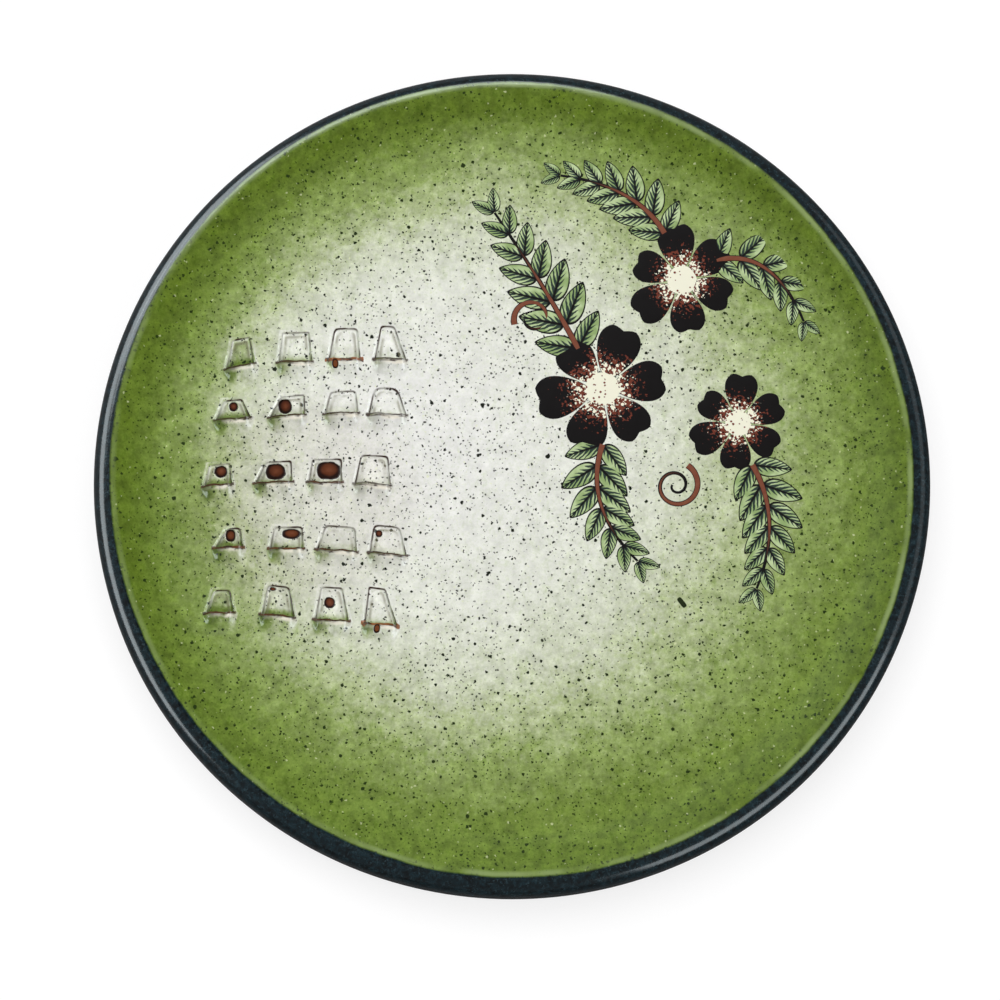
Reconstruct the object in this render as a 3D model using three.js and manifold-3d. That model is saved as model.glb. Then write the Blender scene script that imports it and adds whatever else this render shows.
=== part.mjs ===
// Garlic grater plate: a round dish of red clay with a raised rim and a low foot. A speckled glaze
// covers its face, a dark glaze covers its rim and outer wall, and on the left half of the floor
// stand five rows of sharp teeth, each thrown up by a punch that was pushed into the soft clay.
// Millimetres, +Z up. The origin is on the table, under the middle of the plate.

import * as THREE from 'three';
import { mergeVertices } from 'three/addons/utils/BufferGeometryUtils.js';
import Module from 'manifold-3d';

const wasm = await Module();
wasm.setup();

// Dish, measured over the glaze
const plateRadius = 60;
const wellDepth = 2.2; // rim crest down to the glazed floor
const rimOuterRound = 2.35; // from the crest out to the widest line
const rimSlope = 7.25; // from the crest in to the edge of the flat floor
const wallStraight = 2; // upright stretch of outer wall below the widest line
const floorThickness = 5; // clay under the well
const glazeCoat = 0.5;
const glazeLineRise = 1.6; // where the dark glaze stops, above the flat underside

// Foot ring
const footRadius = 38;
const footWidth = 4.5;
const footHeight = 2;
const footChamfer = 0.4;
const footLedge = 4; // flat underside between the foot and the belly

// Teeth
const lipHeight = 1.7; // above the clay floor
const lipLean = 0.25; // how far the lip's edge leans away from its pit
const lipOverhang = 0.3; // how much wider the lip is than its pit, at each end
const moundLength = 2.9; // from the lip back to where the mound runs out
const moundTaper = 0.3; // share of its width that the mound loses on the way
const pitDepth = 2; // at the lip, below the clay floor
const pitStep = 0.4; // at the far edge, below the clay floor
const moundFall = 1.4; // power that bends the mound's back down towards its foot
const crownPower = 4; // the higher, the squarer the lip's ends
const windowClearance = 0.3; // glaze to tooth and pit, all round

// The marks of the punch, row by row from the top and from left to right. Each gives the place of the
// lip's middle (inset from the left edge of the flat floor, rise above the centre line), the length
// of the lip, the length of the pit, the length of the pit's far edge, that edge's shift along the
// lip, and the turn of the lip in degrees.
const punchMarks = [
  [
    { inset: 11.35, rise: 16.95, lip: 4.4, pit: 3.9, edge: 2.5, shift: 0.9, turn: 12 },
    { inset: 19.25, rise: 17.55, lip: 5.0, pit: 4.3, edge: 3.8, shift: 0.2, turn: 2 },
    { inset: 26.35, rise: 17.95, lip: 4.7, pit: 4.5, edge: 3.3, shift: 0.2, turn: 0 },
    { inset: 32.95, rise: 17.95, lip: 4.7, pit: 4.8, edge: 1.9, shift: -0.6, turn: -2 },
  ],
  [
    { inset: 10.35, rise: 9.25, lip: 5.2, pit: 2.7, edge: 2.6, shift: 0.2, turn: 5 },
    { inset: 18.15, rise: 9.65, lip: 5.3, pit: 2.9, edge: 3.3, shift: 1.0, turn: 5 },
    { inset: 25.95, rise: 10.05, lip: 5.0, pit: 3.2, edge: 3.6, shift: 0.3, turn: 2 },
    { inset: 32.55, rise: 9.85, lip: 5.6, pit: 3.9, edge: 3.3, shift: -0.4, turn: -2 },
  ],
  [
    { inset: 8.25, rise: -0.45, lip: 4.2, pit: 3.0, edge: 3.0, shift: 0.5, turn: 6 },
    { inset: 16.25, rise: -0.05, lip: 5.5, pit: 3.0, edge: 3.6, shift: 0.8, turn: 3 },
    { inset: 23.65, rise: 0.05, lip: 5.0, pit: 3.3, edge: 4.1, shift: 0.2, turn: 0 },
    { inset: 30.45, rise: -0.35, lip: 5.3, pit: 4.2, edge: 3.8, shift: 0.0, turn: -3 },
  ],
  [
    { inset: 9.85, rise: -9.55, lip: 4.2, pit: 2.8, edge: 1.9, shift: 0.7, turn: 1 },
    { inset: 18.15, rise: -9.65, lip: 5.0, pit: 3.1, edge: 4.0, shift: 0.2, turn: 0 },
    { inset: 25.35, rise: -9.95, lip: 5.9, pit: 3.5, edge: 4.2, shift: 0.2, turn: -4 },
    { inset: 32.65, rise: -10.45, lip: 5.5, pit: 4.0, edge: 3.7, shift: -0.5, turn: -5 },
  ],
  [
    { inset: 8.65, rise: -19.05, lip: 4.2, pit: 3.3, edge: 2.3, shift: 0.3, turn: 2 },
    { inset: 16.95, rise: -19.45, lip: 4.9, pit: 4.3, edge: 3.0, shift: -0.4, turn: -6 },
    { inset: 24.65, rise: -20.05, lip: 5.0, pit: 4.7, edge: 3.0, shift: -0.3, turn: -3 },
    { inset: 31.65, rise: -20.75, lip: 4.9, pit: 5.2, edge: 2.3, shift: -1.2, turn: -7 },
  ],
];

// How finely round shapes are cut into flat facets
const turnSegments = 64;
const roundSteps = 4;
const slopeSteps = 8;
const bellySteps = 3;
const moundSteps = 4;
const crownSteps = 6;
const mergeReach = 1e-4; // corners nearer than this are one

// Heights and radii that follow from the sizes above
const clayFloorZ = footHeight + floorThickness;
const floorZ = clayFloorZ + glazeCoat;
const crestZ = floorZ + wellDepth;
const widestZ = crestZ - rimOuterRound;
const wallBottomZ = widestZ - wallStraight;
const crestRadius = plateRadius - rimOuterRound;
const flatRadius = crestRadius - rimSlope;
const bellyRadius = footRadius + footLedge;
const bellyReach = plateRadius - bellyRadius;
const bellyDrop = wallBottomZ - footHeight;
const glazeLineAngle = THREE.MathUtils.radToDeg(Math.asin(1 - glazeLineRise / bellyDrop));

// Materials
const clay = new THREE.MeshStandardMaterial({ color: 0x7a4630, roughness: 0.85, metalness: 0 });
const speckledGlaze = new THREE.MeshStandardMaterial({ color: 0xa9b98a, roughness: 0.15, metalness: 0 });
const darkGlaze = new THREE.MeshStandardMaterial({ color: 0x1e2a30, roughness: 0.12, metalness: 0 });
const toothGlaze = new THREE.MeshStandardMaterial({ color: 0xd5d6c4, roughness: 0.2, metalness: 0 });

// Points of an elliptic arc in the plane of a turned profile, angles in degrees
function arc(centreR, centreZ, reachR, reachZ, from, to, steps) {
  return Array.from({ length: steps + 1 }, (_, k) => {
    const angle = THREE.MathUtils.degToRad(from + ((to - from) * k) / steps);
    return new THREE.Vector2(centreR + reachR * Math.cos(angle), centreZ + reachZ * Math.sin(angle));
  });
}

// A solid from a closed geometry: shared corners merged, collapsed triangles dropped
function solid(geometry) {
  geometry.deleteAttribute('normal');
  geometry.deleteAttribute('uv');
  const merged = mergeVertices(geometry, mergeReach);
  const corners = merged.index.array;
  const triangles = [];
  for (let k = 0; k < corners.length; k += 3) {
    const [a, b, c] = corners.slice(k, k + 3);
    if (a !== b && b !== c && c !== a) triangles.push(a, b, c);
  }
  const vertProperties = new Float32Array(merged.attributes.position.array);
  const triVerts = new Uint32Array(triangles);
  return new wasm.Manifold(new wasm.Mesh({ numProp: 3, vertProperties, triVerts }));
}

// A solid back as a flat-shaded geometry
function geometryOf(body) {
  const { vertProperties, triVerts } = body.getMesh();
  const geometry = new THREE.BufferGeometry();
  geometry.setAttribute('position', new THREE.BufferAttribute(new Float32Array(vertProperties), 3));
  geometry.setIndex(new THREE.BufferAttribute(new Uint32Array(triVerts), 1));
  geometry.computeVertexNormals();
  return geometry;
}

// A profile of radius and height, turned once about the plate's axis
function turned(profile) {
  const lathe = new THREE.LatheGeometry(profile, turnSegments);
  return solid(lathe.rotateX(Math.PI / 2));
}

// The two sides of the glaze: the clay beneath it and the surface that shows, crest first. The slope
// eases off into the crest and into the floor.
function faceLine(coat) {
  return Array.from({ length: slopeSteps + 1 }, (_, k) => {
    const way = k / slopeSteps;
    const rise = (wellDepth * (1 + Math.cos(Math.PI * way))) / 2;
    return new THREE.Vector2(crestRadius - rimSlope * way, floorZ - coat + rise);
  });
}

function bellyLine(coat, from, to) {
  const drop = bellyDrop + glazeCoat - coat;
  return arc(bellyRadius, wallBottomZ, bellyReach - coat, drop, -from, -to, bellySteps);
}

function wallLine(coat) {
  const round = rimOuterRound - coat;
  return [
    ...arc(crestRadius, widestZ, round, round, 90, 0, roundSteps),
    ...bellyLine(coat, 0, glazeLineAngle),
  ];
}

// The clay dish, before the punch
function clayDish() {
  const footInner = footRadius - footWidth;
  const foot = [
    new THREE.Vector2(footInner, footHeight),
    new THREE.Vector2(footInner, footChamfer),
    new THREE.Vector2(footInner + footChamfer, 0),
    new THREE.Vector2(footRadius - footChamfer, 0),
    new THREE.Vector2(footRadius, footChamfer),
    new THREE.Vector2(footRadius, footHeight),
  ];
  return turned([
    new THREE.Vector2(0, footHeight),
    ...foot,
    ...bellyLine(glazeCoat, glazeLineAngle, 90).slice(1).reverse(),
    ...wallLine(glazeCoat).reverse(),
    ...faceLine(glazeCoat).slice(1),
    new THREE.Vector2(0, clayFloorZ),
  ]);
}

// The speckled coat over the face, from the rim's crest down into the well
function faceCoat() {
  return turned([
    new THREE.Vector2(0, clayFloorZ),
    ...faceLine(glazeCoat).reverse(),
    ...faceLine(0),
    new THREE.Vector2(0, floorZ),
  ]);
}

// The dark coat from the rim's crest down the outer wall to the glaze line
function rimCoat() {
  const inside = wallLine(glazeCoat);
  const outside = wallLine(0).reverse();
  return turned([...inside, ...outside, inside[0]]);
}

// Where a punch mark lies on the plate
function placed(geometry, mark) {
  const left = -flatRadius + mark.inset;
  return geometry.rotateZ(THREE.MathUtils.degToRad(mark.turn)).translate(left, mark.rise, 0);
}

// The pit in front of a lip: a wedge whose floor falls from the far edge to the lip
function pitCutter(mark) {
  const nearHalf = mark.lip / 2 - lipOverhang;
  const farHalf = mark.edge / 2;
  const outline = [
    [-nearHalf, 0],
    [nearHalf, 0],
    [mark.shift + farHalf, mark.pit],
    [mark.shift - farHalf, mark.pit],
  ];
  const depths = [pitDepth, pitDepth, pitStep, pitStep];
  const above = floorZ;
  const corners = [
    ...outline.map(([x, y], k) => [x, y, clayFloorZ - depths[k]]),
    ...outline.map(([x, y]) => [x, y, above]),
  ];
  const geometry = new THREE.BufferGeometry();
  geometry.setAttribute('position', new THREE.Float32BufferAttribute(corners.flat(), 3));
  const sides = [0, 1, 2, 3].flatMap((k) => {
    const next = (k + 1) % 4;
    return [k, next, next + 4, k, next + 4, k + 4];
  });
  geometry.setIndex([0, 2, 1, 0, 3, 2, 4, 5, 6, 4, 6, 7, ...sides]);
  return solid(placed(geometry, mark));
}

// The opening in the coat round a pit and the mound behind its lip
function windowCutter(mark) {
  const gap = windowClearance;
  const lipHalf = mark.lip / 2 + gap;
  const footHalf = (mark.lip / 2) * (1 - moundTaper) + gap;
  const farHalf = mark.edge / 2 + gap;
  const outline = new THREE.Shape([
    new THREE.Vector2(-footHalf, -moundLength - gap),
    new THREE.Vector2(footHalf, -moundLength - gap),
    new THREE.Vector2(lipHalf, 0),
    new THREE.Vector2(lipHalf, gap),
    new THREE.Vector2(mark.shift + farHalf, mark.pit + gap),
    new THREE.Vector2(mark.shift - farHalf, mark.pit + gap),
    new THREE.Vector2(-lipHalf, gap),
    new THREE.Vector2(-lipHalf, 0),
  ]);
  const depth = glazeCoat + 2 * gap;
  const block = new THREE.ExtrudeGeometry(outline, { depth, bevelEnabled: false });
  return solid(placed(block.translate(0, 0, clayFloorZ - gap), mark));
}

// A tooth: the lip that bites, and the mound of clay pushed up behind it
function tooth(mark) {
  const half = mark.lip / 2;
  const corners = [];
  const at = (layer, i, j) => (layer * (moundSteps + 1) + i) * (crownSteps + 1) + j;
  for (const layer of [0, 1]) {
    for (let i = 0; i <= moundSteps; i += 1) {
      const back = i / moundSteps;
      for (let j = 0; j <= crownSteps; j += 1) {
        const across = (2 * j) / crownSteps - 1;
        const crown = Math.sqrt(1 - across ** crownPower);
        const height = layer * lipHeight * crown * (1 - back) ** moundFall;
        const lean = (lipLean * height) / lipHeight;
        corners.push(across * half * (1 - moundTaper * back), -moundLength * back - lean * (1 - back), height);
      }
    }
  }
  const triangles = [];
  const quad = (a, b, c, d) => triangles.push(a, b, c, a, c, d);
  for (let i = 0; i < moundSteps; i += 1) {
    for (let j = 0; j < crownSteps; j += 1) {
      quad(at(1, i, j), at(1, i + 1, j), at(1, i + 1, j + 1), at(1, i, j + 1));
      quad(at(0, i, j), at(0, i, j + 1), at(0, i + 1, j + 1), at(0, i + 1, j));
    }
  }
  for (let j = 0; j < crownSteps; j += 1) {
    quad(at(0, 0, j), at(1, 0, j), at(1, 0, j + 1), at(0, 0, j + 1));
  }
  const geometry = new THREE.BufferGeometry();
  geometry.setAttribute('position', new THREE.Float32BufferAttribute(corners, 3));
  geometry.setIndex(triangles);
  return solid(placed(geometry, mark).translate(0, 0, clayFloorZ));
}

const plate = new THREE.Group();

function addPart(name, body, material) {
  const mesh = new THREE.Mesh(geometryOf(body), material);
  mesh.name = name;
  plate.add(mesh);
}

const marks = punchMarks.flat();
const pits = marks.map(pitCutter);
const windows = marks.map(windowCutter);

addPart('clay_body', pits.reduce((body, pit) => body.subtract(pit), clayDish()), clay);
addPart('face_glaze', windows.reduce((body, opening) => body.subtract(opening), faceCoat()), speckledGlaze);
addPart('rim_glaze', rimCoat(), darkGlaze);

punchMarks.forEach((row, r) => {
  row.forEach((mark, c) => addPart(`tooth_r${r + 1}c${c + 1}`, tooth(mark), toothGlaze));
});

export default plate;
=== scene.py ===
# %% [markdown]
# # A glazed garlic grater plate
# This lesson dresses a CAD plate for the camera. The CAD gives the frame: a clay dish, two coats
# of glaze and twenty teeth, all in metres. Each of them gets a finer piece here, made from the
# same sizes, because 64 flat facets round a rim would show in its reflections.

# %% Load the frame
import math
import bmesh
import bpy
from mathutils import Matrix


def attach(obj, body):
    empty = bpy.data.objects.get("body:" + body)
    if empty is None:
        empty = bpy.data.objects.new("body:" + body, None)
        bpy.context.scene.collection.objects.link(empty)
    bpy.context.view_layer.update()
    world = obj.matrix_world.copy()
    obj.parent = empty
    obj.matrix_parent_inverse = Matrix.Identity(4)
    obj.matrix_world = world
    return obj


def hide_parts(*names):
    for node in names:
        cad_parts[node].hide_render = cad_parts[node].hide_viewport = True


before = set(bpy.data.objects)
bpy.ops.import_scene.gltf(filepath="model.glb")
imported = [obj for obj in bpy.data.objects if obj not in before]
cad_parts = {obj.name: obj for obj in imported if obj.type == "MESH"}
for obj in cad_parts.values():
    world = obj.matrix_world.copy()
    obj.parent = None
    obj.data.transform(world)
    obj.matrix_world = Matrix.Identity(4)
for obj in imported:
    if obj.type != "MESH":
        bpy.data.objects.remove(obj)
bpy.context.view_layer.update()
MM = 0.001
print("frame loaded:", len(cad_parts), "nodes")

# %% [markdown]
# ## Node trees written as sums
# Shaders and Geometry Nodes both hold long chains of Math nodes. A small class wraps one socket
# and lets Python's own signs add those nodes, so a formula in this file reads as a formula. It
# would also work to drag the nodes by hand, but text can be read, changed and run again.

# %% A socket that does arithmetic
def sign(operation, swapped=False):
    """A method that adds one Math node, for one of Python's signs."""
    def method(self, other):
        return self.math(operation, *((other, self) if swapped else (self, other)))
    return method


class Wire:
    """One output socket of a node tree. Arithmetic on it adds Math nodes to that tree."""

    def __init__(self, tree, socket=None):
        self.tree = tree
        self.socket = socket

    def node(self, kind, sockets, out=0, **settings):
        """Adds any node, with values or links for its sockets and with these settings."""
        made = self.tree.nodes.new(kind)
        for key, value in settings.items():
            if key == "stops":
                self.set_stops(made.color_ramp, value)
            else:
                setattr(made, key, value)
        for key, value in sockets.items():
            if isinstance(value, Wire):
                self.tree.links.new(value.socket, made.inputs[key])
            elif isinstance(value, list):
                for each in value:
                    self.tree.links.new(each.socket, made.inputs[key])
            else:
                made.inputs[key].default_value = value
        return Wire(self.tree, made.outputs[out])

    def also(self, out):
        """Another output of the node that this one comes from."""
        return Wire(self.tree, self.socket.node.outputs[out])

    @staticmethod
    def set_stops(ramp, stops):
        while len(ramp.elements) < len(stops):
            ramp.elements.new(0.5)
        for element, (place, colour) in zip(ramp.elements, stops):
            element.position = place
            element.color = colour

    def math(self, operation, *values):
        return self.node("ShaderNodeMath", dict(enumerate(values)), operation=operation)

    __add__ = sign("ADD")
    __radd__ = sign("ADD", swapped=True)
    __sub__ = sign("SUBTRACT")
    __rsub__ = sign("SUBTRACT", swapped=True)
    __mul__ = sign("MULTIPLY")
    __truediv__ = sign("DIVIDE")
    __pow__ = sign("POWER")
    lesser = sign("MINIMUM")
    greater = sign("MAXIMUM")

    def __neg__(self):
        return self.math("MULTIPLY", self, -1.0)

    def __abs__(self):
        return self.math("ABSOLUTE", self)

    def ramp(self, start, end, easing="LINEAR"):
        """0 below start, 1 above end, a straight line between."""
        sockets = {0: self, 1: start, 2: end}
        return self.node("ShaderNodeMapRange", sockets, interpolation_type=easing)

    def step(self, start, end):
        """Like ramp, but eased at both ends."""
        return self.ramp(start, end, "SMOOTHSTEP")

    def part(self, axis):
        return self.node("ShaderNodeSeparateXYZ", {0: self}, axis)

    def xy(self):
        return self.part(0), self.part(1)

    def about(self, place):
        """X and y as measured from a place."""
        return self.part(0) - place[0], self.part(1) - place[1]

    def hypot(self, other):
        """The length of a vector with these two parts."""
        return self.math("SQRT", self * self + other * other)

    def vector(self, x, y, z):
        return self.node("ShaderNodeCombineXYZ", {0: x, 1: y, 2: z})

    def scaled(self, factor):
        return self.node("ShaderNodeVectorMath", {0: self, "Scale": factor}, operation="SCALE")

    def stretched(self, factors):
        return self.node("ShaderNodeVectorMath", {0: self, 1: factors}, operation="MULTIPLY")

    def shifted(self, other):
        return self.node("ShaderNodeVectorMath", {0: self, 1: other}, operation="ADD")

    def tinted(self, first, second):
        """Mixes two colours, with this socket as the share of the second."""
        return self.node("ShaderNodeMix", {0: self, 6: first, 7: second}, 2, data_type="RGBA")


def srgb(red, green, blue):
    """A colour picked on screen, 0 to 255, as the linear values that shaders take."""
    shares = [value / 255 for value in (red, green, blue)]
    linear = [v / 12.92 if v <= 0.04045 else ((v + 0.055) / 1.055) ** 2.4 for v in shares]
    return (*linear, 1.0)


print("wires ready; mid grey is", round(srgb(128, 128, 128)[0], 3))

# %% [markdown]
# ## Turning the dish
# A potter throws a plate on a wheel, so its shape is one line turned about the axis. The same
# curves as in the CAD are used here: the crest of the rim, the easy slope down into the well, the
# wall and the belly. The line is cut finely, and the ring into 240 steps, so that the bright
# streak along the rim runs without a kink. A Screw modifier would do it too; a short loop keeps
# the corners in our hands.

# %% Sizes of the turned shapes, in millimetres
CREST_R = 57.65
FLAT_R = 50.4
CLAY_FLOOR = 7.0
FLOOR = 7.5
CREST = 9.7
WIDEST = 7.35
WALL_END = 5.35
RIM_ROUND = 2.35
BELLY_R = 42.0
BELLY_REACH = 18.0
BELLY_DROP = 3.85
COAT = 0.5
FOOT = 2.0
FOOT_R = 38.0
FOOT_INNER_R = 33.5
GLAZE_LINE = 31.5
SEGMENTS = 240
ROUND_STEPS = 12
SLOPE_STEPS = 20
RING_INSET = 1.4
RING_STEP = 7.5
RING_COUNT = 7
TURNED_LIMIT = 50


def arc(centre_r, centre_z, reach_r, reach_z, start, end):
    """Points of an elliptic arc in the plane of the turned line, angles in degrees."""
    steps = range(ROUND_STEPS + 1)
    angles = [math.radians(start + (end - start) * k / ROUND_STEPS) for k in steps]
    return [(centre_r + reach_r * math.cos(a), centre_z + reach_z * math.sin(a)) for a in angles]


def new_object(name, mesh):
    made = bpy.data.objects.new(name, mesh)
    bpy.context.scene.collection.objects.link(made)
    return made


def smoothed(mesh, limit):
    """Shades a mesh smooth, except over edges that turn by more degrees than a limit."""
    mesh.shade_smooth()
    mesh.set_sharp_from_angle(angle=math.radians(limit))


def turned(name, line, ring=False, sway=None):
    """Turns a line of (radius, height) points about Z: closed to a ring, or capped at both ends."""
    corners = []
    for radius, height in line:
        for k in range(SEGMENTS):
            angle = 2 * math.pi * k / SEGMENTS
            r, z = sway(angle, radius, height) if sway else (radius, height)
            corners.append((r * math.cos(angle) * MM, r * math.sin(angle) * MM, z * MM))
    faces = []
    for i in range(len(line) if ring else len(line) - 1):
        low = i * SEGMENTS
        high = (i + 1) % len(line) * SEGMENTS
        for k in range(SEGMENTS):
            n = (k + 1) % SEGMENTS
            faces.append((low + k, low + n, high + n, high + k))
    if not ring:
        last = (len(line) - 1) * SEGMENTS
        faces.append(tuple(reversed(range(SEGMENTS))))
        faces.append(tuple(range(last, last + SEGMENTS)))
    mesh = bpy.data.meshes.new(name)
    mesh.from_pydata(corners, [], faces)
    smoothed(mesh, TURNED_LIMIT)
    return new_object(name, mesh)


def flat_rings(height):
    """Rings on a flat floor, from near its edge in to a small middle disc."""
    return [(FLAT_R - RING_INSET - step * RING_STEP, height) for step in range(RING_COUNT)]


def face_line(coat):
    """From the rim's crest in and down to the edge of the flat floor, eased at both ends."""
    line = []
    for k in range(SLOPE_STEPS + 1):
        way = k / SLOPE_STEPS
        rise = (CREST - FLOOR) * (1 + math.cos(math.pi * way)) / 2
        line.append((CREST_R - (CREST_R - FLAT_R) * way, FLOOR - coat + rise))
    return line


def wall_line(coat, stop):
    """From the rim's crest out and down the wall and belly to an angle of the belly's curve."""
    crest = arc(CREST_R, WIDEST, RIM_ROUND - coat, RIM_ROUND - coat, 90, 0)
    belly = arc(BELLY_R, WALL_END, BELLY_REACH - coat, BELLY_DROP - coat, 0, -stop)
    return crest + belly


print("rim section:", len(face_line(0)), "points inside,", len(wall_line(0, GLAZE_LINE)), "outside")

# %% [markdown]
# ## The clay body
# Under the glaze lies red clay. Only its underside stays bare, from the edge of the dark glaze
# inwards, so that the plate doesn't stick to the kiln shelf. A turning tool leaves faint rings
# inside the foot, which the line itself carries as small waves.

# %% Turn the clay
WAVES_R = range(3, 33)
WAVE_HALF = 0.08
WAVE_RATE = 1.9
FOOT_ROUND = 0.4
FOOT_EASE = 0.12
FOOT_FILLET = 0.3


def clay_line():
    waves = [(r, FOOT - WAVE_HALF + WAVE_HALF * math.cos(r * WAVE_RATE)) for r in WAVES_R]
    foot = [
        (FOOT_INNER_R - FOOT_FILLET, FOOT),
        (FOOT_INNER_R, FOOT - FOOT_FILLET),
        (FOOT_INNER_R, FOOT_ROUND),
        (FOOT_INNER_R + FOOT_EASE, FOOT_EASE),
        (FOOT_INNER_R + FOOT_ROUND, 0.0),
        (FOOT_R - FOOT_ROUND, 0.0),
        (FOOT_R - FOOT_EASE, FOOT_EASE),
        (FOOT_R, FOOT_ROUND),
        (FOOT_R, FOOT - FOOT_ROUND),
        (FOOT_R + FOOT_ROUND, FOOT),
    ]
    outside = list(reversed(wall_line(COAT, 90)))
    inside = face_line(COAT)[1:]
    return waves + foot + outside + inside + flat_rings(CLAY_FLOOR)


dish_clay = turned("dish_clay", clay_line())
print("dish_clay:", len(dish_clay.data.polygons), "faces")

# %% [markdown]
# ## The two coats of glaze
# The speckled coat lies on the face and the dark one hangs over the rim and the outer wall. Both
# are solids as thick as in the CAD. Glaze runs before it sets, so the lower edge of the dark
# coat swings up and down a little and ends in a rounded bead.

# %% Turn the coats
BEAD_IN = 0.16
BEAD_DOWN = 0.14
# size in millimetres, number round the plate and start of each swing of the edge
SWINGS = ((0.25, 3, 0.6), (0.16, 7, 0.0), (0.1, 13, 0.0))
SWING_OUT = 0.9
SWING_UP = 0.35


def face_coat_line():
    under = list(reversed(face_line(COAT)))
    over = face_line(0)
    return list(reversed(flat_rings(CLAY_FLOOR))) + under + over + flat_rings(FLOOR)


def rim_coat_line():
    inside = wall_line(COAT, GLAZE_LINE)
    outside = list(reversed(wall_line(0, GLAZE_LINE)))
    end_in, end_out = inside[-1], outside[0]
    bead = ((end_in[0] + end_out[0]) / 2 - BEAD_IN, (end_in[1] + end_out[1]) / 2 - BEAD_DOWN)
    return inside + [bead] + outside


GLAZE_END = WALL_END - BELLY_DROP * math.sin(math.radians(GLAZE_LINE))


def run_down(angle, radius, height):
    """Lets the dark glaze run lower in some places, all the more near its lower edge."""
    near_edge = max(0.0, (WALL_END - height) / (WALL_END - GLAZE_END)) ** 2
    swing = sum(size * math.sin(count * angle + start) for size, count, start in SWINGS)
    return radius + swing * near_edge * SWING_OUT, height + swing * near_edge * SWING_UP


glazed_face = turned("glazed_face", face_coat_line())
dark_rim = turned("dark_rim", rim_coat_line(), ring=True, sway=run_down)
print("glazed_face:", len(glazed_face.data.polygons), "faces")
print("dark_rim:", len(dark_rim.data.polygons), "faces")

# %% [markdown]
# ## One tooth, grown by a rule
# The potter pushes a flat punch into the soft clay. In front it leaves a pit whose floor slopes
# down to a sharp lip, and behind the lip the clay piles up in a mound. All twenty follow that
# rule with other sizes, so one Geometry Nodes tree makes them: a fine grid whose heights come
# from distances to the pit's outline and to the lip. Sculpting each tooth would work, but the
# rule keeps them alike, and it can hand those distances on to the shader.

# %% Inputs of a tree, and running it once
def shape_tree(name, inputs):
    """A wire into a new Geometry Nodes tree, and one from each of its number inputs."""
    tree = bpy.data.node_groups.new(name, "GeometryNodeTree")
    for each in inputs:
        tree.interface.new_socket(each, in_out="INPUT", socket_type="NodeSocketFloat")
    source = tree.nodes.new("NodeGroupInput")
    return Wire(tree), {each: Wire(tree, source.outputs[each]) for each in inputs}


def placed(shape, size, height, scale=1.0):
    """Turns a shape drawn in millimetres and moves it to its place at this height."""
    move = {
        "Geometry": shape,
        "Translation": shape.vector(size["Place X"] * MM, size["Place Y"] * MM, height * MM),
        "Rotation": shape.vector(0.0, 0.0, size["Turn"] * math.radians(1)),
        "Scale": shape.vector(scale * MM, scale * MM, MM),
    }
    return shape.node("GeometryNodeTransform", move)


def tree_result(shape, finish):
    """Ends a tree: instances become real, the finish is set, and the shape goes out."""
    tree = shape.tree
    shape = shape.node("GeometryNodeRealizeInstances", {"Geometry": shape})
    shape = shape.node("GeometryNodeSetMaterial", {"Geometry": shape, "Material": finish})
    tree.interface.new_socket("Geometry", in_out="OUTPUT", socket_type="NodeSocketGeometry")
    sink = tree.nodes.new("NodeGroupOutput")
    tree.links.new(shape.socket, sink.inputs[0])
    return tree


def settled(piece, modifier):
    """Runs a modifier and keeps what it made as a plain mesh."""
    graph = bpy.context.evaluated_depsgraph_get()
    mesh = bpy.data.meshes.new_from_object(piece.evaluated_get(graph))
    piece.modifiers.remove(modifier)
    piece.data = mesh
    return mesh


def grown(name, tree, values):
    """Makes a piece by running a tree with these inputs."""
    made = new_object(name, bpy.data.meshes.new(name))
    modifier = made.modifiers.new("rule", "NODES")
    modifier.node_group = tree
    for item in tree.interface.items_tree:
        if item.in_out == "INPUT":
            modifier[item.identifier] = float(values[item.name])
    settled(made, modifier).name = name
    return made


# %% Sizes that all teeth share, in millimetres
LIP_HEIGHT = 1.2
PIT_DEEP = 1.35
PIT_STEP = 0.3
OVERHANG = 0.15
MOUND = 2.9
SIDE_MARGIN = 0.55
END_MARGIN = 0.5
FACE_HALF = 0.1
BLOCK_BOTTOM = FLOOR - 2.4
TOOTH_INPUTS = ("Place X", "Place Y", "Lip Length", "Pit Length", "Far Edge", "Edge Shift", "Turn")
TOOTH_INPUTS += ("Wear", "Corner", "Green", "Spot X", "Spot Y", "Spot Width", "Spot Height", "Seed")


def position(wire):
    return wire.node("GeometryNodeInputPosition", {})


def moved(shape, x, y, z):
    """Puts each point of a shape at a place of its own."""
    sockets = {"Geometry": shape, "Position": shape.vector(x, y, z)}
    return shape.node("GeometryNodeSetPosition", sockets)


def stored(shape, name, value, kind="FLOAT"):
    """Keeps a value per point under a name that a shader can ask for."""
    values = {"Geometry": shape, "Name": name, "Value": value}
    return shape.node("GeometryNodeStoreNamedAttribute", values, data_type=kind, domain="POINT")


def wobble(wire, x, y, z, scale):
    """Smooth random heights between -0.5 and 0.5."""
    values = {"Vector": wire.vector(x, y, z), "Scale": scale}
    return wire.node("ShaderNodeTexNoise", values) - 0.5


print("a tooth's inputs:", len(TOOTH_INPUTS))

# %% The sheet of a tooth: rows crowd together at the lip, where it is nearly upright
COLUMNS = 73
ROWS = 121
LIP_BAND = 0.12


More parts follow.
